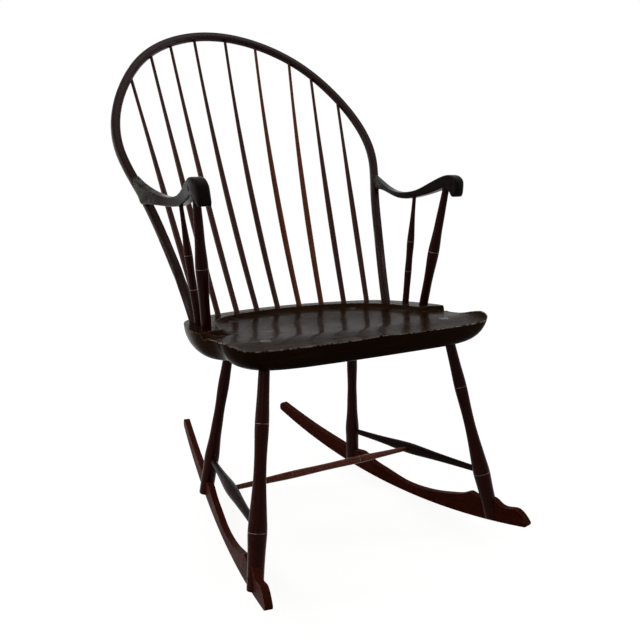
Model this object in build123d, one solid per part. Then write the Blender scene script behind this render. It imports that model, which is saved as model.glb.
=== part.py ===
"""Hoop-back Windsor rocking chair, piece by piece, as its joiner made it.

The seat frame has its XY plane on the flat deck of the seat, +Z up through the deck, +Y to the back and
Y = 0 on the line through the two feet of the hoop. Every piece above the runners is drawn there, then
tilted back with the seat and lifted to its height. The runners stand upright in the room's own frame.
The finished chair has its origin on the floor, under the middle of its bounding box. Millimetres.
"""
from build123d import *
from math import cos, exp, radians, sin, sqrt, tan, tanh
import os

# Stance
seat_height = 386.1            # deck above the floor at the hoop's feet
seat_tilt = 6.2                # front of the seat up, degrees
glue_gap = 0.12                # radial room in every glued socket
face_gap = 0.15                # room where flat faces meet

# Seat plank
seat_thickness = 50.0
seat_half_width = 260.0        # at the arm posts
seat_waist = 249.0             # half width of the hollow behind the front corners
seat_ear = 262.0               # half width over the front corners
seat_front = 303.0             # front edge ahead of the hoop's feet
rear_margin = 16.0             # wood left behind the spindle sockets
side_round = 38.0              # undercut of the side and rear edges
ear_round = 58.0               # undercut of the sides at the front corners
front_round = 18.0             # undercut of the front edge
gutter_radius = 1.6            # incised line round the deck
gutter_inset = 15.0            # from the spindles in to the line

# Dish scooped out of the plank
dish_depth = 8.0               # drop from the deck into the dish at its wall
dish_wall = 9.0                # width of the wall's slope
dish_back_inset = 9.0          # from the incised line in to the wall
dish_side_inset = 25.0         # from the arm posts in to the wall
dish_flare = 74.0              # the wall runs out this much wider in front of the posts
dish_flare_return = 20.0       # and comes in again over the front corners
dish_roundness = 2.6           # power of the curve round the back of the dish
dish_hollow = 7.0              # further drop in the middle of the dish
hollow_half_width = 150.0
hollow_half_length = 105.0
front_fall = 5.5               # drop of the dish at the front edge
front_fall_start = 215.0       # ahead of the hoop's feet
front_fall_length = 90.0
pommel_rise = 2.0              # ridge in the middle of the front edge
pommel_half_width = 38.0
pommel_lead = 25.0             # the ridge starts this far behind the front fall

# Spindles of the back
spindle_count = 9
spindle_arc_radius = 380.0     # the row of sockets in the deck
spindle_row_back = 86.0        # middle socket behind the hoop's feet
spindle_foot_pitch = 7.5       # degrees between sockets
spindle_top_pitch = 74.4       # along the hoop
spindle_top_drift = 20.4       # the hand-bored tops sit this far along the hoop to +X
spindle_top_slips = (1, 15, 3, -6, -4, -6, 5, -9, 1)  # own error of each hole along the hoop, from -X
spindle_foot_radius = 5.6
spindle_belly_radius = 6.2
spindle_top_radius = 3.3
spindle_bend = 18.0            # backward bow of the middle spindle
spindle_socket = 28.0          # depth of a socket in the seat

# Hoop
hoop_outline = ((217, 0), (244, 157), (262, 227), (290, 325), (240, 472), (179, 535), (0, 592))
hoop_lean = 0.37               # backward run per height at the foot
hoop_curl = 0.000318           # growth of that run with height
hoop_width = 17.8              # across the section, in the hoop's plane
hoop_depth = 15.0              # front to back
hoop_corner = 5.0              # rounding of the section
bead_radius = 1.1              # the two scratched lines on the front face
bead_offset = 4.8
hoop_tenon_radius = 7.0
hoop_tenon_length = 34.0

# Arms: whittled by eye, so the two differ underneath
arm_root_height = 276.0        # upper end of the joint with the hoop, above the deck
right_root_depth = 36.0        # height of the arm's feathered end on the hoop
left_root_depth = 57.0
arm_dip = 229.0                # top of the low point above the deck
arm_dip_back = 12.0            # low point behind the short spindle
right_arm_thickness = 14.0     # vertical thickness at the low point
left_arm_thickness = 17.5
arm_crest = 256.0              # highest point above the deck
arm_width = 22.0
arm_root_width = 18.0
arm_lap = 3.0                  # depth to which the arm's end is let into the sides of the hoop
arm_lean = 0.1                 # outward run per height of the arm's sides
knuckle_width = 26.0
knuckle_corner = 5.0           # rounding of the grip's front corners, from above
knuckle_front = 194.0          # foremost point ahead of the hoop's feet
knuckle_thickness = 15.0       # front to back at the tip of the rolled-over grip
right_knuckle_drop = 43.0      # height of the rolled-over grip
left_knuckle_drop = 48.0

# Arm posts and the short spindles behind them
post_foot = (234.0, -106.0)
post_top = (257.0, -153.0)
post_foot_radius = 8.8
post_ring_radius = 11.1
post_top_radius = 6.6
post_ring_height = 110.0
post_socket = 32.0
short_foot = (228.0, -54.0)
short_top = (250.5, -60.0)
short_foot_radius = 6.8
short_ring_radius = 7.5
short_top_radius = 3.8
short_ring_heights = (66.0, 127.0)
short_socket = 26.0
post_tenon = 12.0              # depth of the post's socket under the grip
short_tenon = 8.0              # depth of the short spindle's socket under the arm

# Legs: places on the deck, splay to the sides and rake to front or back in degrees
front_leg_place = (182.0, -231.0)
front_leg_splay = 9.7
front_leg_rake = -8.7
rear_leg_place = (133.0, 5.0)
rear_leg_splay = 7.0
rear_leg_rake = 13.4
leg_tenon_radius = 7.6         # at the top of the seat
leg_neck_radius = 9.4          # at the underside
leg_ring_radius = 11.7
leg_waist_radius = 10.2
leg_swell_radius = 15.8
leg_foot_radius = 13.6
leg_ring_drop = 141.0          # upper ring, below the deck along the leg
leg_waist_drop = 205.0
leg_swell_drop = 312.0
leg_reach = 440.0              # the blank before its foot is cut, below the deck
wedge_width = 2.6              # wedge in each leg tenon, at its top
wedge_length = 26.0

# Stretchers
stretcher_level = 297.0        # below the deck
side_stretcher_fall = 6.0      # its front end below its rear end, beside the legs' own rake
side_end_radius = 5.6
side_bulb_radius = 11.0
cross_end_radius = 4.6
cross_ring_radius = 7.2
cross_middle_radius = 6.5
cross_ring_place = 76.0        # rings to each side of the middle
cross_place = -95.0           # its line, ahead of the hoop's feet
stretcher_tenon = 13.0         # length of tenon in its socket
ring_groove = 0.9              # depth of the turned rings

# Runners
rocker_thickness = 12.5
rocker_radius = 1340.0
balance_y = -80.4              # lowest point of the runners, in the room, from the hoop's feet
rocker_nose = 81.0             # ahead of the front leg's foot
rocker_tail = 257.0            # behind the rear leg's foot
rocker_slim = 20.0             # depth at the thinnest
rocker_tail_depth = 26.5
rocker_pad_depth = 44.0        # depth under the front leg
rocker_heel_depth = 39.5       # depth under the rear leg
foot_level = 34.0              # height at which the leg's line and the runner's plane meet
prong_clear = 5.0              # leg prongs stop this far above the runner's lower edge
rocker_pin_radius = 2.4
rocker_pin_level = 24.0        # above the runner's lower edge

# Small fastenings
post_pin_radius = 2.2
arm_nail_radius = 1.5

SEAT_PLACE = Location((0, 0, seat_height), (-seat_tilt, 0, 0))


def mirrored(shape):
    return shape.mirror(Plane.YZ)


def turned(stations, swell=0.0):
    """A turning about Z from (height, radius) stations, lowest first, made larger by swell."""
    low, high = stations[0][0], stations[-1][0]
    side = Spline(*[(radius + swell, 0, height) for height, radius in stations])
    ends = Polyline(side @ 1, (0, 0, high), (0, 0, low), side @ 0)
    return revolve(make_face(side + ends), axis=Axis.Z)


def rod(radius, start, end):
    """A plain cylinder from one point to another."""
    start, end = Vector(start), Vector(end)
    along = Plane(origin=start, z_dir=end - start)
    return along * Cylinder(radius, (end - start).length, align=(Align.CENTER, Align.CENTER, Align.MIN))


def grooved(body, radius, heights):
    """A turning with ring lines cut at some heights, where its surface has that radius."""
    for height in heights:
        body -= Pos(0, 0, height) * Rotation(0, 0, 90) * Torus(radius + ring_groove * 0.3, ring_groove)
    return body


def upright(origin, direction):
    """A plane whose Z runs along a direction and whose X stays near the chair's own X."""
    return Plane(origin=origin, x_dir=(1, 0, 0), z_dir=direction)


# Seat ---------------------------------------------------------------------------------------------------

def spindle_socket_place(index):
    """Centre of a spindle's socket on the deck, index 0 in the middle, positive to +X."""
    turn = radians(index * spindle_foot_pitch)
    centre_y = spindle_row_back - spindle_arc_radius
    return Vector(spindle_arc_radius * sin(turn), centre_y + spindle_arc_radius * cos(turn), 0)


def seat_half_outline():
    """Right half of the plank from the middle of the back to the middle of the front."""
    radius = spindle_arc_radius + rear_margin
    centre_y = spindle_row_back - spindle_arc_radius
    back = [(radius * sin(radians(a)), centre_y + radius * cos(radians(a))) for a in (0, 11, 22, 32)]
    post_y = post_foot[1]
    side = [(seat_half_width - 11, post_y + 68), (seat_half_width, post_y + 12),
            (seat_half_width, post_y - 30)]
    ear = [(seat_waist, post_y - 66), (seat_waist + 4, post_y - 98), (seat_ear, -seat_front + 62)]
    corner = [(seat_ear - 11, -seat_front + 26), (seat_ear - 50, -seat_front + 9)]
    front = [(seat_ear / 2, -seat_front + 2), (0, -seat_front)]
    return back + side + ear + corner + front


def seat_section(depth):
    """The plank's outline at a depth under the deck, drawn in by the rounded underside."""
    share = 1 - sqrt(max(0.0, 1 - (depth / seat_thickness) ** 2))
    middle_y = post_foot[1]
    points = []
    for x, y in seat_half_outline():
        reach = spindle_row_back + rear_margin - middle_y if y > middle_y else seat_front + middle_y
        pull = side_round if y > middle_y else front_round
        side_pull = side_round + (ear_round - side_round) * smooth((middle_y - y) / reach)
        points.append((x * (1 - side_pull * share / seat_half_width),
                       middle_y + (y - middle_y) * (1 - pull * share / reach)))
    left = [(-x, y) for x, y in reversed(points[1:-1])]
    return Pos(0, 0, -depth) * make_face(Spline(*points, *left, periodic=True))


def dish_height(x, y):
    """Height of the scooped surface over the deck plane; above zero it leaves the deck whole."""
    back_y = spindle_row_back - gutter_inset - dish_back_inset
    ahead_of_posts = post_foot[1] - y
    flare = dish_flare * smooth((ahead_of_posts - 10) / 34)
    flare -= dish_flare_return * smooth((ahead_of_posts - 62) / 50)
    half = post_foot[0] - dish_side_inset + flare
    centre_y = post_foot[1] - 44
    behind = max(0.0, (y - centre_y) / (back_y - centre_y))
    power = dish_roundness
    inside = (1 - ((abs(x) / half) ** power + behind ** power) ** (1 / power)) * half
    wall = dish_depth * tanh(inside / dish_wall)
    if inside <= 0:
        return -wall
    across, along = x / hollow_half_width, (y - post_foot[1]) / hollow_half_length
    hollow = dish_hollow * exp(-(across ** 2 + along ** 2))
    fall = front_fall * smooth((-y - front_fall_start) / front_fall_length)
    pommel = pommel_rise * exp(-(x / pommel_half_width) ** 2)
    pommel *= smooth((pommel_lead - y - front_fall_start) / front_fall_length)
    return -wall - (hollow + fall - pommel) * smooth(inside / 30)


def smooth(t):
    t = min(1.0, max(0.0, t))
    return t * t * (3 - 2 * t)


def dish_tool():
    """Everything over the scooped surface."""
    step = 12
    columns = range(-int(1.1 * seat_ear / step), int(1.1 * seat_ear / step) + 1)
    rows = range(-int(1.1 * seat_front / step), int(spindle_row_back / step) + 1)
    grid = [[(c * step, r * step, dish_height(c * step, r * step)) for r in rows] for c in columns]
    surface = Face.make_surface_from_array_of_points(grid, tol=0.05, max_deg=3)
    return extrude(surface, amount=40, dir=(0, 0, 1))


def gutter_tool():
    """The incised line that runs in front of the spindles and out past the arm posts."""
    inner = spindle_arc_radius - gutter_inset
    centre_y = spindle_row_back - spindle_arc_radius
    row = [(inner * sin(radians(a)), centre_y + inner * cos(radians(a))) for a in (0, 12, 24)]
    side = [(hoop_outline[0][0] - gutter_inset, -8), (short_foot[0] - gutter_inset, short_foot[1]),
            (post_foot[0] - gutter_inset, post_foot[1] + 4)]
    half = row + side
    path = Spline(*[(-x, y, 0) for x, y in reversed(half[1:])], *[(x, y, 0) for x, y in half])
    start = Plane(origin=path @ 0, z_dir=path % 0)
    return sweep(start * Circle(gutter_radius), path=path)


def make_seat(dish):
    turns = (0, 18, 36, 54, 72, 90)
    plank = loft([seat_section(seat_thickness * sin(radians(a))) for a in turns])
    return plank - dish - gutter_tool()


# Hoop ---------------------------------------------------------------------------------------------------

def hoop_point(x, height):
    return Vector(x, hoop_lean * height + hoop_curl * height ** 2, height)


def hoop_path():
    """The hoop's centre line from under its left foot, over the top, to under its right foot."""
    (foot_x, _), (next_x, next_height) = hoop_outline[:2]
    below = -hoop_depth
    start = (foot_x + (next_x - foot_x) * below / next_height, below)
    half = (start, *hoop_outline[1:-1])
    left = [hoop_point(-x, height) for x, height in half]
    right = [hoop_point(x, height) for x, height in reversed(half)]
    return Spline(*left, hoop_point(*hoop_outline[-1]), *right)


def hoop_section(swell):
    blank = RectangleRounded(hoop_width + 2 * swell, hoop_depth + 2 * swell, hoop_corner + swell)
    if swell:
        return blank
    front = -hoop_depth / 2
    return blank - [Pos(x, front) * Circle(bead_radius) for x in (-bead_offset, bead_offset)]


def hoop_rail(path, swell=0.0):
    start = upright(path @ 0, path % 0)
    return sweep(start * hoop_section(swell), path=path)


def deck_crossing(path, at_start):
    """The point of the hoop's line on the deck and the direction down into the seat."""
    end = 0 if at_start else 1
    down = -(path % 0) if at_start else path % 1
    point = path @ end
    return point - down * (point.Z / down.Z), down


def hoop_tenons(path, swell=0.0):
    """The round tenons that stand in the seat under the two feet."""
    tenons = []
    for at_start in (True, False):
        foot, down = deck_crossing(path, at_start)
        end = foot + down * (hoop_tenon_length + swell)
        tenons.append(rod(hoop_tenon_radius + swell, foot - down * hoop_depth, end))
    return tenons


def make_hoop(path, spindle_holes):
    under_deck = Pos(0, 0, face_gap) * Box(800, 800, 200, align=(Align.CENTER, Align.CENTER, Align.MAX))
    hoop = hoop_rail(path) - under_deck
    return hoop + hoop_tenons(path) - spindle_holes


def hoop_at(path, height):
    """The point on the right half of the hoop at a height over the deck."""
    low, high = 0.5, 1.0
    for _ in range(40):
        middle = (low + high) / 2
        if (path @ middle).Z > height:
            low = middle
        else:
            high = middle
    return path @ low


# Spindles -----------------------------------------------------------------------------------------------

def top_along(index, path):
    """Where along the hoop a spindle's top goes through it."""
    slip = spindle_top_slips[(index + spindle_count // 2) % len(spindle_top_slips)]
    return path.length / 2 + index * spindle_top_pitch + spindle_top_drift + slip


def spindle_station(index, path, share):
    """Point and direction of a spindle's bent line at a share of its length."""
    foot = spindle_socket_place(index)
    top = path.position_at(top_along(index, path), PositionMode.LENGTH)
    chord = top - foot
    back = Vector(0, 1, 0) - chord * (chord.Y / chord.dot(chord))
    bend = back.normalized() * spindle_bend * cos(radians(80) * index / (spindle_count // 2)) ** 2
    point = foot + chord * share + bend * (4 * share * (1 - share))
    return point, (chord + bend * (4 - 8 * share)).normalized()


def spindle_radius(share):
    if share < 0.3:
        return spindle_foot_radius + (spindle_belly_radius - spindle_foot_radius) * smooth(share / 0.3)
    return spindle_belly_radius + (spindle_top_radius - spindle_belly_radius) * smooth((share - 0.3) / 0.63)


def make_spindle(index, path):
    foot, up = spindle_station(index, path, 0)
    sections = [upright(foot - up * spindle_socket, up) * Circle(spindle_foot_radius)]
    for share in (0, 0.2, 0.4, 0.6, 0.8, 0.93, 1):
        point, direction = spindle_station(index, path, share)
        sections.append(upright(point, direction) * Circle(spindle_radius(share)))
    top, out = spindle_station(index, path, 1)
    sections.append(upright(top + out * hoop_reach(index, path), out) * Circle(spindle_top_radius))
    return loft(sections)


def hoop_reach(index, path):
    """Length of a spindle's end in the outer half of the hoop, which it may cross at a slant."""
    out = spindle_station(index, path, 1)[1]
    slant = abs(out.dot(path.tangent_at(top_along(index, path), PositionMode.LENGTH)))
    square = sqrt(1 - slant ** 2)
    return (hoop_width / 2 - spindle_top_radius * slant) / square - face_gap


def spindle_sockets(index, path):
    """The hole in the seat and the hole through the hoop for one spindle."""
    foot, up = spindle_station(index, path, 0)
    top, out = spindle_station(index, path, 1)
    in_seat = rod(spindle_foot_radius + glue_gap, foot - up * (spindle_socket + glue_gap), foot + up * 9)
    in_hoop = rod(spindle_top_radius + glue_gap, top - out * 1.6 * hoop_width, top + out * 1.6 * hoop_width)
    return in_seat, in_hoop


# Arms, their posts and short spindles -------------------------------------------------------------------

def between(start, end, shares):
    """Points between two others, each from its shares of the run in Y and of the rise in Z."""
    (y, z), (end_y, end_z) = start, end
    return [(y + (end_y - y) * run, z + (end_z - z) * rise) for run, rise in shares]


def arm_root_point(path, height):
    """Where the arm's end stops, a little behind the front face of the hoop."""
    middle = hoop_at(path, height)
    return middle.Y - hoop_depth / 2 + arm_lap, middle.Z


def arm_side_outline(path, root_depth, thickness, knuckle_drop):
    """The sawn side view of an arm, in the plane of Y and Z: a long S that curls over into the grip."""
    root_top = arm_root_point(path, arm_root_height)
    root_low = arm_root_point(path, arm_root_height - root_depth)
    dip_y = short_top[1] + arm_dip_back
    dip_top, dip_low = (dip_y + 4, arm_dip), (dip_y - 4, arm_dip - thickness)
    nose, heel = -knuckle_front, knuckle_thickness - knuckle_front
    base = arm_crest - knuckle_drop
    crest, arch = (nose + 40, arm_crest - 0.5), (heel + 22, base + 0.42 * knuckle_drop)
    back_top = between(root_top, dip_top, ((0.3, 0.5), (0.55, 0.81), (0.78, 0.97)))
    front_top = between(dip_top, crest, ((0.28, 0.12), (0.55, 0.46), (0.8, 0.8)))
    roll = [(nose + 25, arm_crest), (nose + 9, arm_crest - 0.17 * knuckle_drop),
            (nose, arm_crest - 0.45 * knuckle_drop), (nose + 1.5, base + 0.2 * knuckle_drop),
            (nose + 6, base)]
    upper = Spline(root_top, *back_top, dip_top, *front_top, crest, *roll)
    sole = Line(upper @ 1, (heel - 2, base + 0.5))
    hollow = [(heel + 3, base + 0.17 * knuckle_drop), (heel + 9, base + 0.34 * knuckle_drop)]
    front_low = between(arch, dip_low, ((0.12, 0.1), (0.4, 0.5), (0.66, 0.78)))
    back_low = between(dip_low, root_low, ((0.19, 0.04), (0.45, 0.37)))
    lower = Spline(sole @ 1, *hollow, arch, *front_low, dip_low, *back_low, root_low)
    return Plane.YZ * make_face(upper + sole + lower + Line(lower @ 1, upper @ 0))


def arm_plan_outline(path):
    """The arm from above, at the height of its joint: its width from the hoop to the grip's round corners."""
    root = hoop_at(path, joint_height())
    half, root_half, grip = arm_width / 2, arm_root_width / 2, knuckle_width / 2
    grip_x = post_top[0] + 4
    nose = -knuckle_front
    sides = []
    for side in (-1, 1):
        sides.append(Spline((root.X + side * root_half, root.Y + hoop_depth),
                            (root.X - 1 + side * root_half, root.Y - 20),
                            (short_top[0] + 7 + side * half, 0),
                            (short_top[0] + 4 + side * half, short_top[1]),
                            (post_top[0] + 1 + side * half, post_top[1] + 26),
                            (grip_x + side * grip, nose + 24),
                            (grip_x + side * (grip - 1), nose + knuckle_corner)))
    inner, outer = sides
    flat = grip - knuckle_corner
    front = Polyline(inner @ 1, (grip_x - flat, nose), (grip_x + flat, nose), outer @ 1)
    return make_face(inner + front + outer + Line(outer @ 0, inner @ 0))


def make_arm(path, root_depth, thickness, knuckle_drop):
    side = extrude(arm_side_outline(path, root_depth, thickness, knuckle_drop), amount=2 * seat_half_width)
    plan = Pos(0, 0, joint_height()) * arm_plan_outline(path)
    return side & extrude(plan, amount=2 * knuckle_drop, dir=(arm_lean, 0, 1), both=True)


def joint_height():
    """Middle of the joint of arm and hoop, above the deck."""
    return arm_root_height - right_root_depth / 2


def post_axis():
    foot = Vector(*post_foot, 0)
    return foot, Vector(*post_top, arm_crest - 0.6 * right_knuckle_drop)


def short_axis():
    foot = Vector(*short_foot, 0)
    return foot, Vector(*short_top, arm_dip - right_arm_thickness + 0.5)


def post_stations(length):
    ring = post_ring_height
    return [(-post_socket, post_top_radius), (0, post_foot_radius), (ring * 0.4, post_foot_radius - 0.1),
            (ring * 0.7, (post_foot_radius + post_ring_radius) / 2 - 0.2), (ring, post_ring_radius),
            (ring + 20, post_ring_radius - 0.9), (ring + 42, post_foot_radius),
            (ring + 62, post_foot_radius - 0.5), (length - 30, post_top_radius + 0.7),
            (length, post_top_radius), (length + post_tenon, post_top_radius)]


def short_stations(length):
    low, high = short_ring_heights
    return [(-short_socket, short_foot_radius - 0.8), (0, short_foot_radius),
            (low / 2, short_foot_radius - 0.1), (low, short_ring_radius - 0.3),
            ((low + high) / 2, short_foot_radius), (high, short_ring_radius),
            (high + 24, short_foot_radius - 0.5), (high + 50, short_top_radius + 1.0),
            (length - 22, short_top_radius + 0.3), (length, short_top_radius),
            (length + short_tenon, short_top_radius)]


def on_axis(axis):
    foot, top = axis
    return upright(foot, top - foot), (top - foot).length


def make_post(swell=0.0):
    place, length = on_axis(post_axis())
    body = turned(post_stations(length), swell)
    return place * (body if swell else grooved(body, post_ring_radius, [post_ring_height]))


def make_short_spindle(swell=0.0):
    place, length = on_axis(short_axis())
    body = turned(short_stations(length), swell)
    return place * (body if swell else grooved(body, short_ring_radius - 0.15, short_ring_heights))


def post_pin_line(swell=0.0):
    """Line of the peg from inside the post's tenon out through the outer side of the grip."""
    foot, top = post_axis()
    middle = top + (top - foot).normalized() * post_tenon * 0.7
    across = Vector(post_top_radius + 2 + swell, 0, 0)
    return rod(post_pin_radius + swell, middle - across, middle + Vector(arm_width, 0, 0))


def nail_line(path, swell=0.0):
    """Line of the nail from the middle of the hoop out square through its front and the arm's end."""
    root = hoop_at(path, joint_height())
    above = hoop_at(path, joint_height() + 1)
    forward = Vector(1, 0, 0).cross(above - root).normalized()
    return rod(arm_nail_radius + swell, root - forward * swell, root + forward * 2 * right_root_depth)


def hoop_by_arm(path, swell=0.0):
    """The stretch of the hoop that the arm's end lies on."""
    reach = 1.5 * (right_root_depth + left_root_depth)
    return hoop_rail(path, swell) & (Pos(hoop_at(path, joint_height())) * Box(reach, reach, reach))


def make_nail(path, arm_blank):
    """The nail, driven flush with the arm."""
    return nail_line(path) & (arm_blank + hoop_by_arm(path))


# Legs ---------------------------------------------------------------------------------------------------

def leg_axis(front):
    """The leg's point on the deck and its direction downwards, for the +X side."""
    place, splay, rake = ((front_leg_place, front_leg_splay, front_leg_rake) if front
                          else (rear_leg_place, rear_leg_splay, rear_leg_rake))
    down = Vector(tan(radians(splay)), tan(radians(rake)), -1).normalized()
    return Vector(*place, 0), down


def leg_stations(front):
    """Radii down the leg, lowest first, heights measured along it from the deck."""
    swell = leg_swell_drop if front else leg_swell_drop - 10
    waist = leg_waist_drop
    ring = leg_ring_radius if front else leg_ring_radius - 0.6
    belly = leg_swell_radius if front else leg_swell_radius - 1.0
    return [(-leg_reach, leg_foot_radius), (40 - leg_reach, leg_foot_radius),
            (-swell - 42, leg_foot_radius + 0.5), (-swell - 18, belly - 0.7), (-swell, belly),
            (-swell + 20, belly - 1.0), (-swell + 52, belly - 3.3),
            (-swell + 78, leg_waist_radius + 0.7), (-waist, leg_waist_radius),
            (-leg_ring_drop - 26, ring - 0.6), (-leg_ring_drop, ring), (-leg_ring_drop + 34, ring - 1.1),
            (-seat_thickness - 8, leg_neck_radius), (6, leg_tenon_radius)]


def leg_place(front):
    place, down = leg_axis(front)
    return upright(place, down * -1)


def leg_blank(front, swell=0.0):
    body = turned(leg_stations(front), swell)
    if front and not swell:
        body = grooved(body, leg_ring_radius, [-leg_ring_drop])
        body = grooved(body, leg_swell_radius, [-leg_swell_drop])
    return leg_place(front) * body


def wedge_blank(front, swell=0.0):
    """The wedge driven into the leg's tenon from the top, across the grain of the seat."""
    top, tip = wedge_width / 2 + swell, wedge_width / 8 + swell
    bottom = -wedge_length - swell
    side = Polyline((-top, 6), (top, 6), (tip, bottom), (-tip, bottom), close=True)
    slab = extrude(Plane.XZ * make_face(side), amount=2 * leg_neck_radius, both=True)
    return leg_place(front) * slab


def make_wedge(front, dish):
    core = leg_place(front) * turned(leg_stations(front)[-2:], -face_gap)
    return (wedge_blank(front) & core) - dish


def leg_point(front, drop):
    """The point of a leg's axis at a drop below the deck plane."""
    place, down = leg_axis(front)
    return place + down * (drop / -down.Z)


# Stretchers ---------------------------------------------------------------------------------------------

def side_axis():
    half_fall = side_stretcher_fall / 2
    return leg_point(False, stretcher_level - half_fall), leg_point(True, stretcher_level + half_fall)


def side_bulb_share():
    """Where the cross stretcher meets the side stretcher, as a share from back to front."""
    rear, front = side_axis()
    return (cross_place - rear.Y) / (front.Y - rear.Y)


def side_stations(length):
    bulb = side_bulb_share() * length
    rear_start = leg_swell_radius - 1.5 - stretcher_tenon
    front_end = length - (leg_swell_radius - 1.0 - stretcher_tenon)
    return [(rear_start, side_end_radius - 0.3), (rear_start + stretcher_tenon, side_end_radius),
            (bulb * 0.36, side_end_radius + 0.9), (bulb * 0.7, side_bulb_radius - 2.2),
            (bulb, side_bulb_radius),
            (bulb + (length - bulb) * 0.3, side_bulb_radius - 2.0),
            (bulb + (length - bulb) * 0.64, side_end_radius + 1.2),
            (front_end - stretcher_tenon, side_end_radius), (front_end, side_end_radius - 0.3)]


def make_side_stretcher(swell=0.0):
    rear, front = side_axis()
    return upright(rear, front - rear) * turned(side_stations((front - rear).length), swell)


def cross_half_length():
    rear, front = side_axis()
    centre = rear + (front - rear) * side_bulb_share()
    return centre.X - side_bulb_radius + stretcher_tenon * 0.7


def make_cross_stretcher(swell=0.0):
    end, ring = cross_half_length(), cross_ring_place
    half = [(end, cross_end_radius - 0.2), (end - 12, cross_end_radius),
            ((end + ring) / 2, cross_ring_radius - 1.5), (ring, cross_ring_radius)]
    stations = [(-h, r) for h, r in half] + [(0, cross_middle_radius)] + half[::-1]
    body = turned(stations, swell)
    if not swell:
        body = grooved(body, cross_ring_radius, (-ring, ring))
    return Plane(origin=(0, cross_place, -stretcher_level), x_dir=(0, 1, 0), z_dir=(1, 0, 0)) * body


# Runners, in the room's frame -----------------------------------------------------------------------------

def in_room(point):
    return (SEAT_PLACE * Location(point)).position


def foot_point(front):
    """Where a leg's axis comes down to the level at which it stands on its runner."""
    place, down = leg_axis(front)
    high, low = in_room(place), in_room(place + down)
    return high + (low - high) * ((high.Z - foot_level) / (high.Z - low.Z))


def rocker_plane():
    """Upright plane through both feet of one side: X runs back along the runner, Y runs up."""
    front, rear = foot_point(True), foot_point(False)
    along = Vector(rear.X - front.X, rear.Y - front.Y, 0)
    start = front + along * ((balance_y - front.Y) / along.Y)
    return Plane(origin=(start.X, start.Y, 0), x_dir=along, z_dir=along.cross(Vector(0, 0, 1)))


def rocker_place(point):
    """Distance of a point along the runner behind its lowest point."""
    return rocker_plane().to_local_coords(point).X


def rocker_low(place):
    """Height of the runner's lower edge."""
    return rocker_radius - sqrt(rocker_radius ** 2 - place ** 2)


def rocker_outline():
    """Side view of a runner: an arc below, and above it two pads for the legs and the slim waist between."""
    front, rear = rocker_place(foot_point(True)), rocker_place(foot_point(False))
    waist = front + (rear - front) * 0.5
    nose, tail = front - rocker_nose, rear + rocker_tail
    pad, heel = rocker_pad_depth, rocker_heel_depth
    upper = [(tail - 14, rocker_tail_depth - 3), (tail - 60, rocker_tail_depth),
             (rear + 104, rocker_tail_depth + 4), (rear + 26, heel - 7), (rear - 12, heel - 5),
             (rear - 40, heel), (rear - 62, heel - 6),
             (rear - 108, rocker_slim + 7), (waist + 30, rocker_slim), (waist - 18, rocker_slim + 0.5),
             (front + 128, rocker_slim + 6), (front + 92, rocker_slim + 13), (front + 64, pad - 3),
             (front + 50, pad + 2.5), (front + 34, pad - 2), (front + 10, pad), (front - 6, pad - 1),
             (front - 20, pad - 10), (front - 36, pad - 13), (front - 56, pad - 13), (nose + 12, pad - 22),
             (nose, 7)]
    top = Spline(*[(place, rocker_low(place) + depth) for place, depth in upper])
    low_nose = (nose + 7, rocker_low(nose + 7))
    low_tail = (tail, rocker_low(tail))
    toe = ThreePointArc(top @ 1, (nose + 1.2, rocker_low(nose) + 2.2), low_nose)
    sole = ThreePointArc(low_nose, (0, 0), low_tail)
    end = ThreePointArc(low_tail, (tail + 0.5, rocker_low(tail) + rocker_tail_depth * 0.55), top @ 0)
    return make_face(top + toe + sole + end)


def rocker_board(room=0.0):
    return extrude(rocker_plane() * rocker_outline(), amount=rocker_thickness / 2 + room, both=True)


def prong_limit():
    """All that lies far enough inside the runners' arc."""
    plane = rocker_plane()
    centre = plane.from_local_coords(Vector(0, rocker_radius, 0))
    axis = Plane(origin=centre, x_dir=plane.x_dir, z_dir=plane.z_dir)
    return axis * Cylinder(rocker_radius - prong_clear, 600)


def rocker_pin(front, swell=0.0):
    """Pin through both prongs of a foot and the runner between them."""
    plane = rocker_plane()
    place = rocker_place(foot_point(front))
    level = rocker_low(place) + rocker_pin_level
    half = leg_foot_radius - 0.6 + swell
    ends = [plane.from_local_coords(Vector(place, level, side * half)) for side in (-1, 1)]
    return rod(rocker_pin_radius + swell, *ends)


def make_leg(front, dish, cuts):
    """A leg with its slotted foot, in the room's frame."""
    leg = leg_blank(front) - dish - wedge_blank(front, face_gap) - cuts
    leg = SEAT_PLACE * leg
    return (leg & prong_limit()) - rocker_board(face_gap) - rocker_pin(front, glue_gap)


# The whole chair ----------------------------------------------------------------------------------------

def both_sides(name, shape):
    return {name + "_right": shape, name + "_left": mirrored(shape)}


def grouped(pieces):
    """Small pieces of one kind on both sides, as one group of separate solids."""
    return Compound([side.solid() for piece in pieces for side in (piece, mirrored(piece))])


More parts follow.
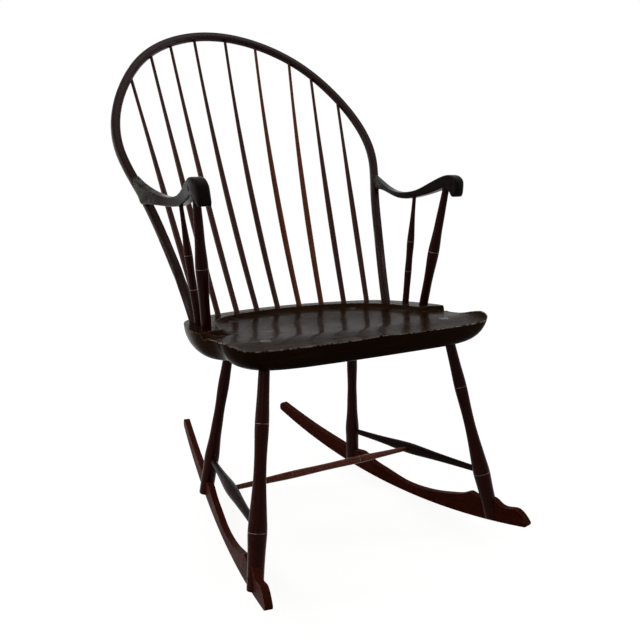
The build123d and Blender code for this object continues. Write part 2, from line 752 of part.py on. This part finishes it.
def make_chair():
    path = hoop_path()
    dish = dish_tool()
    indexes = range(-(spindle_count // 2), spindle_count // 2 + 1)
    holes = [spindle_sockets(index, path) for index in indexes]

    pair_tools = [make_post(glue_gap), make_short_spindle(glue_gap), leg_blank(True, glue_gap),
                  leg_blank(False, glue_gap)]
    seat_tools = pair_tools + [mirrored(tool) for tool in pair_tools] + [in_seat for in_seat, _ in holes]
    seat = make_seat(dish) - seat_tools - hoop_tenons(path, glue_gap)

    nail_hole = nail_line(path, glue_gap)
    hoop_cuts = [in_hoop for _, in_hoop in holes] + [nail_hole, mirrored(nail_hole)]
    hoop = make_hoop(path, hoop_cuts)

    pin_hole = post_pin_line(glue_gap)
    arm_tools = [hoop_by_arm(path, face_gap), make_post(glue_gap), make_short_spindle(glue_gap), pin_hole,
                 nail_hole]
    right_arm = make_arm(path, right_root_depth, right_arm_thickness, right_knuckle_drop)
    left_arm = make_arm(path, left_root_depth, left_arm_thickness, left_knuckle_drop)
    post = make_post() - pin_hole

    side_socket = make_side_stretcher(glue_gap)
    cross_socket = make_cross_stretcher(glue_gap)

    upper = {"seat": seat, "hoop": hoop, "cross_stretcher": make_cross_stretcher()}
    for number, index in enumerate(indexes, 1):
        upper[f"back_spindle_{number}"] = make_spindle(index, path)
    upper["arm_right"] = right_arm - arm_tools
    upper["arm_left"] = mirrored(left_arm - arm_tools)
    upper |= both_sides("arm_post", post)
    upper |= both_sides("arm_spindle", make_short_spindle())
    upper |= both_sides("side_stretcher", make_side_stretcher() - cross_socket)
    upper["leg_wedges"] = grouped([make_wedge(front, dish) for front in (True, False)])
    upper["arm_pins"] = grouped([post_pin_line() & right_arm])
    upper["arm_nails"] = grouped([make_nail(path, right_arm)])

    chair = {name: SEAT_PLACE * piece for name, piece in upper.items()}
    chair |= both_sides("front_leg", make_leg(True, dish, side_socket))
    chair |= both_sides("rear_leg", make_leg(False, dish, side_socket))
    chair |= both_sides("rocker", rocker_board() - [rocker_pin(front, glue_gap) for front in (True, False)])
    chair["rocker_pins"] = grouped([rocker_pin(front) for front in (True, False)])
    return chair


def main():
    chair = make_chair()
    boxes = [piece.bounding_box() for piece in chair.values()]
    back, front = max(box.max.Y for box in boxes), min(box.min.Y for box in boxes)
    floor = min(box.min.Z for box in boxes)
    to_origin = Pos(0, -(back + front) / 2, -floor)
    os.makedirs("parts", exist_ok=True)
    for name, piece in chair.items():
        export_step(to_origin * piece, f"parts/{name}.step")


main()
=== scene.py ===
"""A hoop-back Windsor rocking chair: old dark varnish, rubbed edges, a painted highlight on the seat's rim,
a pale studio floor and the camera.
"""

from math import cos, radians, sin

import bpy
from mathutils import Matrix, Vector


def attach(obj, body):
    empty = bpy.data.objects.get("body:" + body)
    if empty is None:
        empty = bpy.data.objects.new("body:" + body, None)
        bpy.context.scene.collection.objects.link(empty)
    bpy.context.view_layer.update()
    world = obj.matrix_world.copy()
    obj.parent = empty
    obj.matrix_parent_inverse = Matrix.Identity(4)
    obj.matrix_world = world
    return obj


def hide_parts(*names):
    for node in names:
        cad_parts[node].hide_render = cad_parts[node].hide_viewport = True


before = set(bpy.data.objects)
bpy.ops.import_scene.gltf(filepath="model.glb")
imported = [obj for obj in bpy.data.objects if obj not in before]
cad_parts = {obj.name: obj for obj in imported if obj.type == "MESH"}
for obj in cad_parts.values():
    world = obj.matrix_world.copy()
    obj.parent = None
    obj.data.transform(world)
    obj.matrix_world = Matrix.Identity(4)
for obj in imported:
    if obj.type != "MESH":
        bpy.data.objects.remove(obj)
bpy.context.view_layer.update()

# The camera, in metres and degrees
CAMERA_PLACE = Vector((-0.6987, -1.27825, 0.7220))
CAMERA_AZIMUTH = 30.40            # turned from +Y towards +X
CAMERA_DIP = 13.62                # looking down
CAMERA_ROLL = 1.21
CAMERA_LENS = 42.19
CAMERA_SENSOR = 36                # mm

# The floor, in metres from its middle
FLOOR_SIZE = 80.0
FLOOR_PALE = (0.80, 0.79, 0.78)
FLOOR_MOTTLE = (3.0, 2.0)         # frequency and detail of its slight unevenness
FLOOR_LIFT = 1.03                 # how much paler its palest places are
FLOOR_DIM = (0.10, 0.09, 0.085)   # its tone for light that bounces up to the chair
FLOOR_DULL = 0.9
FLOOR_GLOW = 0.68                 # share of the floor near the chair that is seen as plain white
FLOOR_WHITE = 1.34                # strength of that white there
FLOOR_NEAR, FLOOR_FAR = 1.0, 3.2  # from here to there it turns all white

# The room that lights the chair softly
ROOM_TINT = (1.0, 0.90, 0.79, 1.0)
ROOM_DIM = 0.035                  # light from in front of the chair and from low down
ROOM_BACK = 0.145                 # added by the wall behind the chair
ROOM_BACK_RANGE = (0.0, 0.9)      # where it starts and is full: the Y part of the way to it
ROOM_TOP = 0.24                   # added from above
ROOM_TOP_RANGE = (0.15, 1.0)      # the Z part of the way to it

# Lamps: name, place, what it points at, size, watts
LAMPS = (
    ("window_left", (-2.6, 1.0, 1.7), (0, 0, 0.5), (1.2, 1.6), 14),
    ("overhead", (0.2, 0.4, 3.2), (0, 0, 0.4), (2.4, 2.0), 12),
    ("strip_left", (-1.9, 0.5, 0.9), (0, 0, 0.5), (0.14, 1.6), 7),
    ("window_right", (2.4, -1.0, 1.2), (0, 0, 0.4), (0.5, 1.2), 13),
    ("window_front", (-1.9, -2.6, 1.5), (0, 0, 0.6), (0.9, 0.6), 4),
)

# Turned ring lines: a point on the piece's axis, the way along it, and the rings' distances from the point
FRONT_LEG_RINGS = ((0.182, -0.2253, 0.4111), (0.1666, -0.2535, -0.9529), (0.141, 0.312))
POST_RINGS = ((0.234, -0.1010, 0.3976), (0.0974, -0.0926, 0.9909), (0.110,))
SHORT_SPINDLE_RINGS = ((0.228, -0.0493, 0.3919), (0.1038, 0.0799, 0.9914), (0.066, 0.127))
CROSS_RINGS = ((0, 0, 0), (1, 0, 0), (0.076,))
RING_WIDTH = 0.0007
RING_CORE = 0.4                   # share of the width that is fully pale

# Where the seat's pale rim (wear with a painted highlight) and the arms' crazed ends set in: along Y, from
# the first place to the second
RIM_REGION = (-0.14, -0.20)
RIM_LEAST = 0.25                  # share of the rim's wear and painted highlight that is left behind the rim
CRAZED_REGION = (0.04, 0.08)

# The arms are whittled and worn soft
ARM_VOXEL = 0.001
ARM_ROUNDS = 90
ARM_SMOOTHING = 0.5

# Edges sharper than this many degrees stay sharp where a piece is shaded smooth
SHARP_ANGLE = 35.0

# The sixth and seventh spindles from the viewer's left are a warmer brown
WARM_SPINDLES = slice(5, 7)

# Finish, as screen colours from 0 to 255
SEAT_DARK, SEAT_WORN = (34, 20, 11), (66, 44, 28)
HOOP_DARK, HOOP_WORN = (36, 14, 11), (78, 44, 35)
SPINDLE_DARK, SPINDLE_WORN = (56, 27, 22), (120, 74, 62)
WARM_DARK, WARM_WORN = (98, 46, 27), (165, 98, 60)
ARM_DARK, ARM_WORN = (19, 12, 10), (60, 48, 42)
LAP_DARK, LAP_CRAZE = (26, 23, 19), (104, 104, 90)
POST_DARK, POST_WORN = (36, 8, 5), (88, 31, 22)
LEG_DARK, LEG_WORN = (42, 10, 6), (94, 36, 24)
SIDE_DARK, SIDE_WORN = (22, 11, 9), (80, 56, 48)
CROSS_DARK, CROSS_WORN = (84, 30, 20), (176, 108, 88)
RUNNER_DARK, RUNNER_WORN = (56, 15, 8), (104, 56, 42)
PEG_DARK, PEG_WORN = (44, 32, 26), (96, 76, 62)
IRON_DARK, IRON_WORN = (40, 36, 34), (96, 88, 80)
EDGE_PALE = (150, 132, 120)
RING_PALE = (196, 170, 158)
# The seat's front rim: wear with a painted highlight along its rounded edge
RIM_WEAR_AND_HIGHLIGHT = (205, 196, 186)
SCUFF = (140, 122, 110)

# How much each varnish mirrors. It is low, because it mirrors a white studio all round
SEAT_SHINE = 0.0028
HOOP_SHINE = 0.09
SPINDLE_SHINE = 0.08
ARM_SHINE = 0.02
TURNED_SHINE = 0.035              # legs, posts and short spindles
SIDE_SHINE = 0.013
RUNNER_SHINE = 0.004
USUAL_SHINE = 0.05

# Patterns in the varnish: frequency, detail and roughness of the noise
PATCHES = (18.0, 3.0)             # broad worn places
STREAKS = (420.0, 5.0, 0.6)       # the grain
PORES = (900.0, 2.0)
SPECKS = (300.0, 3.0)
EDGE_BREAKS = (160.0, 4.0)        # gaps in the rubbed edges
RING_BREAKS = (90.0, 3.0)         # faint places in the ring lines
MARKS = (150.0, 5.0, 0.7)         # scuffs
WAVES = (55.0, 2.0)               # slight waves of the surface
CRAZE_BREAKS = (70.0,)
CRAZE_CELLS = 420.0
TURNS = (620.0, 2.0)              # marks of the lathe
CLOUDS = (34.0, 5.0, 0.65)        # changes of gloss

# How much they are stretched along the grain
GRAIN_STRETCH = (1, 1, 0.05)
PATCH_STRETCH = (1, 1, 0.4)
MARK_STRETCH = (1, 1, 0.35)
CRAZE_STRETCH = (1, 1, 0.5)
TURN_STRETCH = (0.15, 0.15, 1)

# Noise from the first value to the second becomes 0 to 1, or the range given after them
PATCH_CUT, PATCH_WIDTH, PATCH_RUB = 0.70, 0.25, 0.25
RUB_CUT = (0.35, 0.7)
GROUND_CUT = (0.3, 0.75, 0.0, 0.4)
PORE_CUT = (0.36, 0.5)
SPECK_CUT = (0.64, 0.72)
EDGE_CUT = (0.42, 0.60)
RING_CUT = (0.35, 0.55, 0.35, 1.0)
MARK_CUT = (0.66, 0.71)
CRAZE_CUT = (0.4, 0.6)
CRACK_CUT = (0.02, 0.16, 1.0, 0.0)
TURN_CUT = (0.35, 0.65)
CLOUD_CUT = (0.3, 0.7)
SCUFF_HEIGHT = (0.30, 0.02)       # metres over the floor: none above the first, all below the second
EDGE_START = 0.998                # likeness of the plain and the rounded direction at which an edge starts

# Shares and depths
SPECK_SHARE, SPECK_LIFT = 0.15, 1.4
CRACK_DEPTH = 0.5
TURN_SHARE, TURN_DEPTH = 0.5, 0.12
RUBBED_DULL = 0.10                # roughness added where the varnish is rubbed
HAZE_BELOW = 0.6                  # share of the haze that makes glossy clouds
WAVE_STRENGTH, WAVE_DEPTH = 0.3, 0.002
PORE_STRENGTH, PORE_DEPTH = 0.35, 0.0003

BEVEL_SAMPLES = 8
MIX_FIRST, MIX_SECOND, MIX_RESULT = 6, 7, 2  # the colour sockets of a Mix node
WHITE = (1, 1, 1, 1)


def linear(colour):
    """A screen colour as the linear colour that the shader takes."""
    parts = [c / 255 for c in colour]
    parts = [c / 12.92 if c <= 0.04045 else ((c + 0.055) / 1.055) ** 2.4 for c in parts]
    return (*parts, 1.0)


class Shader:
    """Short ways to lay out the nodes of one material or of the world."""

    def __init__(self, owner):
        owner.use_nodes = True
        self.owner = owner
        self.tree = owner.node_tree
        self.surface = self.tree.nodes.get("Principled BSDF")

    def add(self, kind, inputs=None, **settings):
        node = self.tree.nodes.new("ShaderNode" + kind)
        for key, value in settings.items():
            setattr(node, key, value)
        for key, value in (inputs or {}).items():
            self.feed(node.inputs[key], value)
        return node

    def feed(self, socket, value):
        if isinstance(value, bpy.types.NodeSocket):
            self.tree.links.new(value, socket)
        else:
            socket.default_value = value

    def place(self, turn=(0, 0, 0), stretch=(1, 1, 1)):
        """The piece's own place, turned so that its length lies on Z, then stretched along each axis."""
        where = self.add("TexCoord").outputs["Object"]
        turned = self.add("Mapping", {"Vector": where, "Rotation": turn}).outputs["Vector"]
        return self.add("Mapping", {"Vector": turned, "Scale": stretch}).outputs["Vector"]

    def coordinate(self, axis):
        """Distance along one of the chair's own axes, in metres."""
        return self.add("SeparateXYZ", {"Vector": self.place()}).outputs[axis]

    def noise(self, vector, scale, detail=4.0, roughness=0.55):
        inputs = {"Vector": vector, "Scale": scale, "Detail": detail, "Roughness": roughness}
        return self.add("TexNoise", inputs).outputs["Fac"]

    def between(self, value, low, high, to_low=0.0, to_high=1.0):
        """Value from low to high, carried over to another range and kept inside it."""
        inputs = {"Value": value, "From Min": low, "From Max": high, "To Min": to_low, "To Max": to_high}
        return self.add("MapRange", inputs).outputs["Result"]

    def maths(self, operation, first, second):
        return self.add("Math", {0: first, 1: second}, operation=operation).outputs["Value"]

    def times(self, first, second):
        return self.maths("MULTIPLY", first, second)

    def mix(self, share, first, second):
        node = self.add("Mix", data_type="RGBA")
        self.feed(node.inputs["Factor"], share)
        self.feed(node.inputs[MIX_FIRST], first)
        self.feed(node.inputs[MIX_SECOND], second)
        return node.outputs[MIX_RESULT]

    def rounded(self, radius):
        """The surface's direction as if its edges had this radius."""
        return self.add("Bevel", {"Radius": radius}, samples=BEVEL_SAMPLES).outputs["Normal"]

    def edges(self, soft, bend):
        """From 0 on broad faces to 1 on edges, where the two directions differ by the bend."""
        sharp = self.add("NewGeometry").outputs["Normal"]
        likeness = self.add("VectorMath", {0: soft, 1: sharp}, operation="DOT_PRODUCT").outputs["Value"]
        return self.between(likeness, EDGE_START, 1 - bend)

    def background_rays(self):
        """1 for the rays that see the white background: the camera's, and those mirrored or let through."""
        path = self.add("LightPath").outputs
        seen = self.maths("MAXIMUM", path["Is Camera Ray"], path["Is Transmission Ray"])
        return self.maths("MAXIMUM", seen, path["Is Glossy Ray"])


def ring_lines(shader, origin, way, places):
    """1 on thin lines round a turned piece, which stands on either side of the chair."""
    mirrored = shader.add("VectorMath", {0: shader.place()}, operation="ABSOLUTE").outputs["Vector"]
    across = shader.add("SeparateXYZ", {"Vector": mirrored}).outputs["X"]
    whole = shader.add("SeparateXYZ", {"Vector": shader.place()}).outputs
    point = shader.add("CombineXYZ", {"X": across, "Y": whole["Y"], "Z": whole["Z"]}).outputs["Vector"]
    apart = shader.add("VectorMath", {0: point, 1: origin}, operation="SUBTRACT").outputs["Vector"]
    along = shader.add("VectorMath", {0: apart, 1: way}, operation="DOT_PRODUCT").outputs["Value"]
    lines = 0.0
    for place in places:
        off = shader.maths("ABSOLUTE", shader.maths("SUBTRACT", along, place), 0.0)
        lines = shader.maths("MAXIMUM", lines, shader.between(off, RING_WIDTH, RING_CORE * RING_WIDTH))
    return lines


def scuffed(shader, colour, turn, scuffs):
    """The colour with pale scuffs low on the piece."""
    low = shader.between(shader.coordinate("Z"), *SCUFF_HEIGHT)
    marks = shader.between(shader.noise(shader.place(turn, MARK_STRETCH), *MARKS), *MARK_CUT)
    return shader.mix(shader.times(shader.times(low, marks), scuffs), colour, linear(SCUFF))


def crazed_film(shader, colour, relief, turn, region):
    """The colour and relief with cracked pale varnish over a region along Y."""
    inside = shader.between(shader.coordinate("Y"), *region)
    cells = shader.add("TexVoronoi", {"Vector": shader.place(turn, CRAZE_STRETCH), "Scale": CRAZE_CELLS},
                       feature="DISTANCE_TO_EDGE").outputs["Distance"]
    cracks = shader.between(cells, *CRACK_CUT)
    broken = shader.between(shader.noise(shader.place(turn), *CRAZE_BREAKS), *CRAZE_CUT)
    film = shader.mix(shader.times(cracks, broken), linear(LAP_DARK), linear(LAP_CRAZE))
    sunk = shader.times(shader.times(inside, cracks), CRACK_DEPTH)
    return shader.mix(inside, colour, film), shader.maths("SUBTRACT", relief, sunk)


def old_varnish(name, dark, worn, turn=(0, 0, 0), gloss=0.26, haze=0.1, shine=USUAL_SHINE, rub=0.4,
                grain=1.0, edge=0.0012, bend=0.15, edge_tone=EDGE_PALE, edge_share=0.5, rim=None, rings=(),
                scuffs=0.0, crazed=None, lathe=0.0):
    """Dark varnish over wood whose grain runs along the piece: rubbed patches, worn edges (on the seat's
    front rim a painted highlight too), rings, scuffs.
    """
    shader = Shader(bpy.data.materials.new(name))
    along = shader.place(turn, GRAIN_STRETCH)
    even = shader.place(turn)
    soft = shader.rounded(edge)

    patch_start = PATCH_CUT - PATCH_RUB * rub
    patch = shader.between(shader.noise(shader.place(turn, PATCH_STRETCH), *PATCHES),
                           patch_start, patch_start + PATCH_WIDTH)
    streak = shader.noise(along, *STREAKS)
    rubbed = shader.times(patch, shader.between(streak, *RUB_CUT))
    colour = shader.mix(shader.between(streak, *GROUND_CUT), linear(dark), linear(worn))
    colour = shader.mix(rubbed, colour, linear(worn))
    speck = shader.between(shader.noise(even, *SPECKS), *SPECK_CUT)
    colour = shader.mix(shader.times(speck, SPECK_SHARE), colour, linear([SPECK_LIFT * c for c in worn]))

    broken = shader.between(shader.noise(even, *EDGE_BREAKS), *EDGE_CUT)
    edge_mask = shader.times(shader.edges(soft, bend), broken)
    # Towards the seat's front rim the pale edge is wear and a painted highlight along the rounded edge
    if rim:
        forward = shader.between(shader.coordinate("Y"), *rim, RIM_LEAST, 1.0)
        edge_mask = shader.times(edge_mask, forward)
    colour = shader.mix(shader.times(edge_mask, edge_share), colour, linear(edge_tone))

    for origin, way, places in rings:
        worn_ring = shader.between(shader.noise(even, *RING_BREAKS), *RING_CUT)
        lines = shader.times(ring_lines(shader, origin, way, places), worn_ring)
        colour = shader.mix(lines, colour, linear(RING_PALE))
    if scuffs:
        colour = scuffed(shader, colour, turn, scuffs)
    relief = shader.noise(even, *WAVES)
    if crazed:
        colour, relief = crazed_film(shader, colour, relief, turn, crazed)
    if lathe:
        turns = shader.between(shader.noise(shader.place(turn, TURN_STRETCH), *TURNS), *TURN_CUT)
        colour = shader.mix(shader.times(turns, TURN_SHARE * lathe), colour, linear(worn))
        relief = shader.maths("ADD", relief, shader.times(turns, TURN_DEPTH * lathe))
    shader.feed(shader.surface.inputs["Base Color"], colour)

    clouds = shader.noise(even, *CLOUDS)
    rough = shader.between(clouds, *CLOUD_CUT, gloss - HAZE_BELOW * haze, gloss + haze)
    rough = shader.maths("ADD", rough, shader.times(rubbed, RUBBED_DULL))
    shader.feed(shader.surface.inputs["Roughness"], rough)

    pores = shader.between(shader.noise(along, *PORES), *PORE_CUT)
    wave = shader.add("Bump", {"Strength": WAVE_STRENGTH * grain, "Distance": WAVE_DEPTH, "Height": relief,
                               "Normal": soft}).outputs["Normal"]
    fine = shader.add("Bump", {"Strength": PORE_STRENGTH * grain, "Distance": PORE_DEPTH, "Height": pores,
                               "Normal": wave}).outputs["Normal"]
    shader.feed(shader.surface.inputs["Normal"], fine)
    shader.surface.inputs["Specular IOR Level"].default_value = shine
    return shader.owner


def soften(node):
    """Stand for a CAD node by the same shape with its edges worn round."""
    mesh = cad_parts[node].data.copy()
    mesh.name = node + "_worn"
    piece = bpy.data.objects.new(mesh.name, mesh)
    bpy.context.scene.collection.objects.link(piece)
    remesh = piece.modifiers.new("remesh", "REMESH")
    remesh.mode = "VOXEL"
    remesh.voxel_size = ARM_VOXEL
    remesh.use_smooth_shade = True
    rounded = piece.modifiers.new("rounded", "SMOOTH")
    rounded.factor = ARM_SMOOTHING
    rounded.iterations = ARM_ROUNDS
    whole = bpy.data.meshes.new_from_object(piece.evaluated_get(bpy.context.evaluated_depsgraph_get()))
    piece.modifiers.clear()
    piece.data = whole
    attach(piece, "root")
    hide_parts(node)
    return piece


def coat(piece, material):
    piece.data.materials.clear()
    piece.data.materials.append(material)


def dress(nodes, material):
    for node in nodes:
        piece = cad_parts[node]
        coat(piece, material)
        piece.data.shade_smooth()
        piece.data.set_sharp_from_angle(angle=radians(SHARP_ANGLE))


def both_sides(piece):
    return [piece + "_left", piece + "_right"]


def finish_seat_and_back():
    across = (0, radians(90), 0)
    # The seat's pale rim is wear with a painted highlight along its front edge
    dress(["seat"], old_varnish("seat_varnish", SEAT_DARK, SEAT_WORN, turn=across, gloss=0.10, haze=0.05,
                                shine=SEAT_SHINE, rub=0.9, grain=0.8, edge=0.0026, bend=0.02,
                                edge_tone=RIM_WEAR_AND_HIGHLIGHT, edge_share=0.9, rim=RIM_REGION))
    dress(["hoop"], old_varnish("hoop_varnish", HOOP_DARK, HOOP_WORN, gloss=0.2, shine=HOOP_SHINE, rub=0.3,
                                grain=0.6, edge=0.0005, edge_share=0.6))
    spindles = sorted(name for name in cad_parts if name.startswith("back_spindle"))
    warm = spindles[WARM_SPINDLES]
    dress(warm, old_varnish("warm_spindle_varnish", WARM_DARK, WARM_WORN, gloss=0.34, shine=SPINDLE_SHINE,
                            rub=0.6))
    plain = [name for name in spindles if name not in warm]
    dress(plain, old_varnish("spindle_varnish", SPINDLE_DARK, SPINDLE_WORN, gloss=0.3, shine=SPINDLE_SHINE,
                             rub=0.5))


def finish_arms():
    along = (radians(90), 0, 0)
    arm_finish = old_varnish("arm_varnish", ARM_DARK, ARM_WORN, turn=along, gloss=0.14, shine=ARM_SHINE,
                             rub=0.4, grain=0.7, edge=0.0008, crazed=CRAZED_REGION)
    for node in both_sides("arm"):
        coat(soften(node), arm_finish)
    dress(both_sides("arm_post"), old_varnish("post_varnish", POST_DARK, POST_WORN, gloss=0.14,
                                              shine=TURNED_SHINE, rub=0.3, grain=0.5, rings=[POST_RINGS]))
    dress(both_sides("arm_spindle"), old_varnish("short_varnish", POST_DARK, POST_WORN, gloss=0.14,
                                                 shine=TURNED_SHINE, rub=0.4, grain=0.5,
                                                 rings=[SHORT_SPINDLE_RINGS]))


def finish_undercarriage():
    along, across = (radians(90), 0, 0), (0, radians(90), 0)
    dress(both_sides("front_leg"), old_varnish("leg_varnish", LEG_DARK, LEG_WORN, gloss=0.15,
                                               shine=TURNED_SHINE, rub=0.3, grain=0.5,
                                               rings=[FRONT_LEG_RINGS], scuffs=0.9))
    dress(both_sides("rear_leg"), old_varnish("rear_leg_varnish", LEG_DARK, LEG_WORN, gloss=0.16,
                                              shine=TURNED_SHINE, rub=0.3, grain=0.5, scuffs=0.7))
    dress(both_sides("side_stretcher"), old_varnish("side_stretcher_varnish", SIDE_DARK, SIDE_WORN,
                                                    turn=along, gloss=0.18, shine=SIDE_SHINE, rub=0.3))
    dress(["cross_stretcher"], old_varnish("cross_stretcher_varnish", CROSS_DARK, CROSS_WORN, turn=across,
                                           gloss=0.18, rub=0.5, rings=[CROSS_RINGS], lathe=1.0))
    dress(both_sides("rocker"), old_varnish("runner_varnish", RUNNER_DARK, RUNNER_WORN, turn=along,
                                            gloss=0.36, shine=RUNNER_SHINE, rub=0.4, edge=0.0015,
                                            edge_share=0.4, scuffs=0.4))


def finish_fasteners():
    pegs = old_varnish("peg_end_grain", PEG_DARK, PEG_WORN, gloss=0.4, rub=0.4)
    dress(["leg_wedges", "arm_pins", "rocker_pins"], pegs)
    dress(["arm_nails"], old_varnish("nail_iron", IRON_DARK, IRON_WORN, gloss=0.5, rub=0.4))


def build_floor():
    """A wide pale floor. It is seen mostly as plain white, and it keeps the chair's shadow."""
    half = FLOOR_SIZE / 2
    corners = [(-half, -half, 0), (half, -half, 0), (half, half, 0), (-half, half, 0)]
    mesh = bpy.data.meshes.new("floor")
    mesh.from_pydata(corners, [], [(0, 1, 2, 3)])
    floor = bpy.data.objects.new("floor", mesh)
    bpy.context.scene.collection.objects.link(floor)
    shader = Shader(bpy.data.materials.new("floor_paint"))
    tone = shader.noise(shader.place(), *FLOOR_MOTTLE)
    pale = shader.mix(tone, (*FLOOR_PALE, 1), (*[c * FLOOR_LIFT for c in FLOOR_PALE], 1))
    seen = shader.background_rays()
    shader.feed(shader.surface.inputs["Base Color"], shader.mix(seen, (*FLOOR_DIM, 1), pale))
    shader.surface.inputs["Roughness"].default_value = FLOOR_DULL
    away = shader.add("VectorMath", {0: shader.place()}, operation="LENGTH").outputs["Value"]
    strength = shader.between(away, FLOOR_NEAR, FLOOR_FAR, FLOOR_WHITE, 1.0)
    white = shader.add("Emission", {"Color": WHITE, "Strength": strength}).outputs["Emission"]
    share = shader.times(seen, shader.between(away, FLOOR_NEAR, FLOOR_FAR, FLOOR_GLOW, 1.0))
    both = shader.add("MixShader", {0: share, 1: shader.surface.outputs["BSDF"], 2: white}).outputs["Shader"]
    shader.feed(shader.tree.nodes["Material Output"].inputs["Surface"], both)
    mesh.materials.append(shader.owner)


def light_world():
    """White where it is seen or mirrored; as light, a dim room, brighter behind the chair and above."""
    world = bpy.data.worlds.new("studio")
    bpy.context.scene.world = world
    shader = Shader(world)
    way = shader.add("SeparateXYZ", {"Vector": shader.add("TexCoord").outputs["Generated"]}).outputs
    back = shader.between(way["Y"], *ROOM_BACK_RANGE, 0.0, ROOM_BACK)
    top = shader.between(way["Z"], *ROOM_TOP_RANGE, 0.0, ROOM_TOP)
    strength = shader.maths("ADD", shader.maths("ADD", back, ROOM_DIM), top)
    room = shader.tree.nodes["Background"]
    room.inputs["Color"].default_value = ROOM_TINT
    shader.feed(room.inputs["Strength"], strength)
    white = shader.add("Background", {"Color": WHITE, "Strength": 1.0}).outputs["Background"]
    inputs = {0: shader.background_rays(), 1: room.outputs["Background"], 2: white}
    either = shader.add("MixShader", inputs).outputs["Shader"]
    shader.feed(shader.tree.nodes["World Output"].inputs["Surface"], either)


def add_lamp(name, place, aim, size, watts):
    lamp = bpy.data.lights.new(name, "AREA")
    lamp.shape = "RECTANGLE"
    lamp.size, lamp.size_y = size
    lamp.energy = watts
    holder = bpy.data.objects.new(name, lamp)
    bpy.context.scene.collection.objects.link(holder)
    holder.location = place
    holder.rotation_euler = (Vector(aim) - Vector(place)).to_track_quat("-Z", "Y").to_euler()
    holder.visible_camera = False


def set_camera():
    azimuth, dip, roll = radians(CAMERA_AZIMUTH), radians(CAMERA_DIP), radians(CAMERA_ROLL)
    ahead = Vector((sin(azimuth) * cos(dip), cos(azimuth) * cos(dip), -sin(dip)))
    level = Vector((cos(azimuth), -sin(azimuth), 0))
    over = level.cross(ahead)
    right = level * cos(roll) + over * sin(roll)
    up = over * cos(roll) - level * sin(roll)
    lens = bpy.data.cameras.new("camera")
    lens.sensor_width = CAMERA_SENSOR
    lens.lens = CAMERA_LENS
    camera = bpy.data.objects.new("camera", lens)
    turn = Matrix((right, up, -ahead)).transposed().to_4x4()
    camera.matrix_world = Matrix.Translation(CAMERA_PLACE) @ turn
    bpy.context.scene.collection.objects.link(camera)
    bpy.context.scene.camera = camera


bpy.context.scene.view_settings.view_transform = "Standard"
finish_seat_and_back()
finish_arms()
finish_undercarriage()
finish_fasteners()
build_floor()
light_world()
for lamp_settings in LAMPS:
    add_lamp(*lamp_settings)
set_camera()
